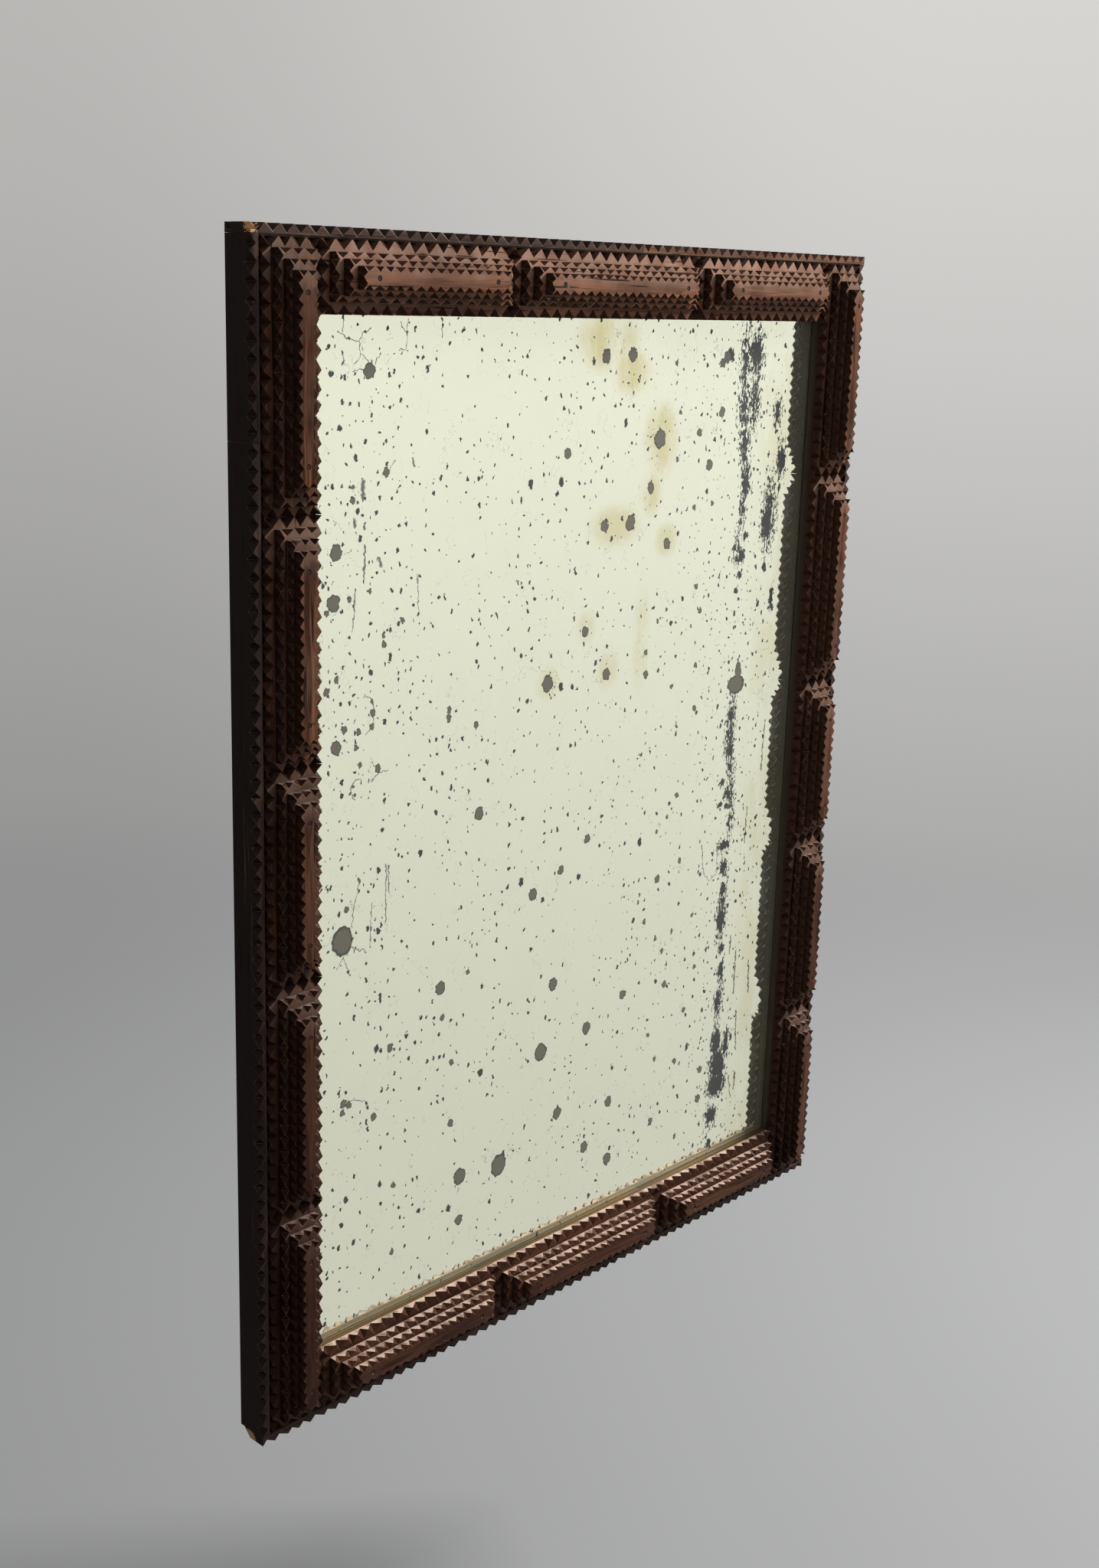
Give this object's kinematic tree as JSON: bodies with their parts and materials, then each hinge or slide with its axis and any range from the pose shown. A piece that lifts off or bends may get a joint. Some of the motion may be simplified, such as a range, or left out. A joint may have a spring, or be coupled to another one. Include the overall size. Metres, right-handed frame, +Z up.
{
  "type": "framed wall mirror",
  "caption": "Upright wall mirror in a tramp art frame of stepped, notched thin boards, with outer edge boards, slips, back boards and two swinging hanger rings.",
  "frame": {"origin": "centre of the back, on the plane that meets the wall", "axes": "+X to the viewer's right, +Y into the wall, +Z up"},
  "size_m": [0.5456, 0.0373, 0.7066],
  "materials": {
    "stained_wood": "worn dark varnish over reddish stain",
    "edge_wood": "worn dark varnish",
    "base_wood": "unfinished softwood",
    "slip_wood": "clear varnish",
    "packing_wood": "unfinished softwood",
    "back_wood": "unfinished, aged",
    "glass": "clear, faintly green",
    "silvering": "foxed and flaked silvering",
    "nail_iron": "dull, slightly rusted",
    "hanger_steel": "dull plated"
  },
  "bodies": {
    "frame": {"left_layer_1": "stained_wood", "left_layer_2": "stained_wood", "left_layer_3": "stained_wood", "left_layer_4": "stained_wood", "right_layer_1": "stained_wood", "right_layer_2": "stained_wood", "right_layer_3": "stained_wood", "right_layer_4": "stained_wood", "top_layer_1": "stained_wood", "top_layer_2": "stained_wood", "top_layer_3": "stained_wood", "top_layer_4": "stained_wood", "bottom_layer_1": "stained_wood", "bottom_layer_2": "stained_wood", "bottom_layer_3": "stained_wood", "bottom_layer_4": "stained_wood", "left_side_upper": "edge_wood", "left_side_lower": "edge_wood", "right_side": "edge_wood", "top_strip_left": "edge_wood", "top_strip_right": "edge_wood", "bottom_strip": "edge_wood", "left_stile": "base_wood", "right_stile": "base_wood", "top_rail": "base_wood", "bottom_rail": "base_wood", "left_slip": "slip_wood", "right_slip": "slip_wood", "top_slip": "slip_wood", "bottom_slip_left": "slip_wood", "bottom_slip_middle": "slip_wood", "bottom_slip_right": "slip_wood", "mirror_glass": "glass", "mirror_silvering": "silvering", "left_packer": "packing_wood", "right_packer": "packing_wood", "top_packer": "packing_wood", "bottom_packer": "packing_wood", "back_board_upper": "back_wood", "back_board_middle": "back_wood", "back_board_lower": "back_wood", "layer_brads": "nail_iron", "back_nails": "nail_iron", "left_strap": "hanger_steel", "right_strap": "hanger_steel", "hanger_screws": "hanger_steel"},
    "left_ring": {"left_ring": "hanger_steel"},
    "right_ring": {"right_ring": "hanger_steel"}
  },
  "joints": [
    {"name": "left_ring_swing", "type": "hinge", "parent": "frame", "child": "left_ring", "pos_m": [-0.2547, -0.0034, 0.15], "axis": [1, 0, 0], "range_deg": [0, 180]},
    {"name": "right_ring_swing", "type": "hinge", "parent": "frame", "child": "right_ring", "pos_m": [0.2547, -0.0034, 0.15], "axis": [1, 0, 0], "range_deg": [0, 180]}
  ]
}
